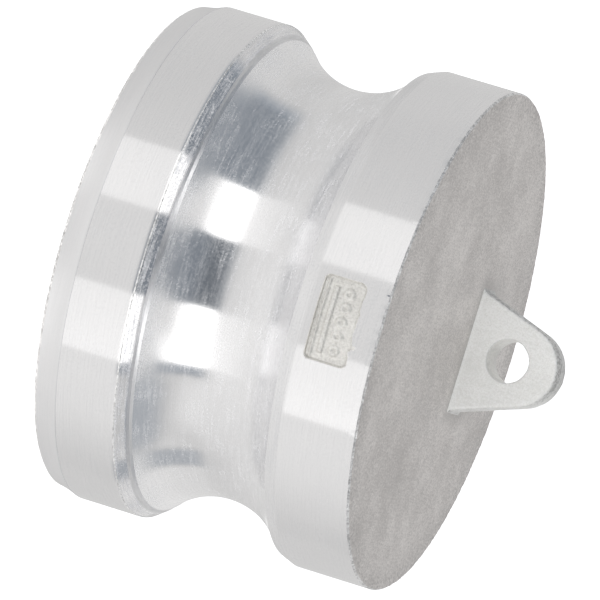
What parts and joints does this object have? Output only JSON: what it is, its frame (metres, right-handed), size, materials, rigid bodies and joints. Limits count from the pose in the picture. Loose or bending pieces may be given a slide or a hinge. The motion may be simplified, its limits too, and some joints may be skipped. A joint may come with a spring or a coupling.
{
  "type": "camlock plug",
  "caption": "Hollow turned aluminium dust plug for a cam-and-groove hose coupling, with a sealing nose, a cam groove, a rear collar and a chain lug on its closed end.",
  "frame": {"origin": "centre of the nose's sealing face, on the plug's axis", "axes": "+Z along the plug's axis, from the nose to the closed end with the chain lug; +X along the chain eye's axis, towards the side with the marking pad"},
  "size_m": [0.063, 0.063, 0.0535],
  "materials": {
    "turned_aluminium": "fine turned, semi-bright",
    "cast_aluminium": "as cast, matt"
  },
  "bodies": {
    "root": {"plug_body": "turned_aluminium", "chain_lug": "cast_aluminium"}
  },
  "joints": []
}
